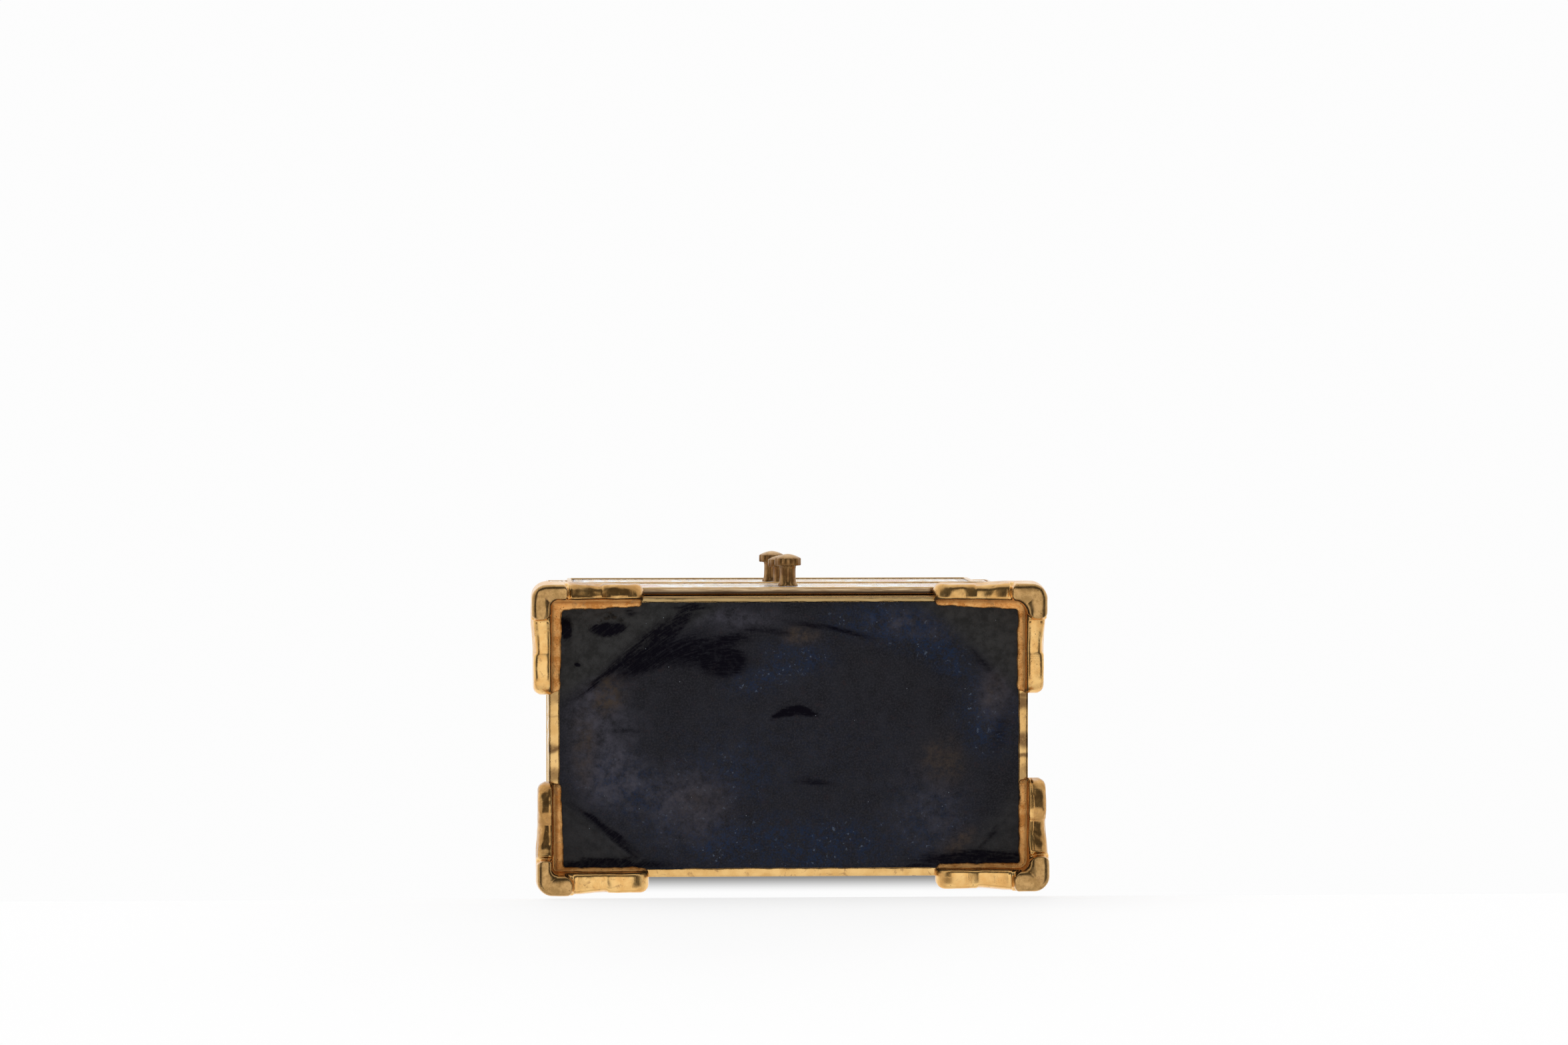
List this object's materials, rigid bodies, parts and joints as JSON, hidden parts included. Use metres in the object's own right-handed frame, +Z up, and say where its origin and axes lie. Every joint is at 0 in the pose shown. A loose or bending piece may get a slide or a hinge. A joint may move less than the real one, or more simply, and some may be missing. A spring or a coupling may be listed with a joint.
{
  "type": "cloisonne chest of drawers",
  "caption": "Small upright cloisonne cabinet with enamelled panels, sliding drawers with brass knobs, and cast brass bracket feet.",
  "frame": {"origin": "middle of the outer box, on the plane that the feet stand on, with the bottom drawer at its rest opening", "axes": "+Z up, -Y out of the drawer fronts, +X to the right as seen from the front"},
  "size_m": [0.1098, 0.0716, 0.1055],
  "materials": {
    "gilt_brass": "polished and gilt, worn on the edges",
    "sheet_brass": "brushed sheet",
    "ivory_enamel": "polished vitreous enamel",
    "navy_enamel": "fired glossy counter-enamel",
    "blue_velvet": "velvet"
  },
  "bodies": {
    "case": {"case_shell": "gilt_brass", "face_frame": "gilt_brass", "frame_enamel": "ivory_enamel", "base_rim": "gilt_brass", "base_enamel": "navy_enamel", "top_enamel": "ivory_enamel", "left_enamel": "ivory_enamel", "right_enamel": "ivory_enamel", "back_enamel": "ivory_enamel", "bottom_runner": "sheet_brass", "middle_runner": "sheet_brass", "top_runner": "sheet_brass", "foot_front_left": "gilt_brass", "foot_front_right": "gilt_brass", "foot_back_left": "gilt_brass", "foot_back_right": "gilt_brass"},
    "bottom_drawer": {"bottom_drawer_tray": "sheet_brass", "bottom_drawer_front": "gilt_brass", "bottom_drawer_enamel": "ivory_enamel", "bottom_drawer_knob": "gilt_brass", "bottom_drawer_nut": "sheet_brass", "bottom_drawer_lining": "blue_velvet"},
    "middle_drawer": {"middle_drawer_tray": "sheet_brass", "middle_drawer_front": "gilt_brass", "middle_drawer_enamel": "ivory_enamel", "middle_drawer_knob": "gilt_brass", "middle_drawer_nut": "sheet_brass", "middle_drawer_lining": "blue_velvet"},
    "top_drawer": {"top_drawer_tray": "sheet_brass", "top_drawer_front": "gilt_brass", "top_drawer_enamel": "ivory_enamel", "top_drawer_knob": "gilt_brass", "top_drawer_nut": "sheet_brass", "top_drawer_lining": "blue_velvet"}
  },
  "joints": [
    {"name": "bottom_drawer_slide", "type": "slide", "parent": "case", "child": "bottom_drawer", "axis": [0, -1, 0], "range_m": [-0.00135, 0.046]},
    {"name": "middle_drawer_slide", "type": "slide", "parent": "case", "child": "middle_drawer", "axis": [0, -1, 0], "range_m": [0, 0.047]},
    {"name": "top_drawer_slide", "type": "slide", "parent": "case", "child": "top_drawer", "axis": [0, -1, 0], "range_m": [0, 0.047]}
  ]
}
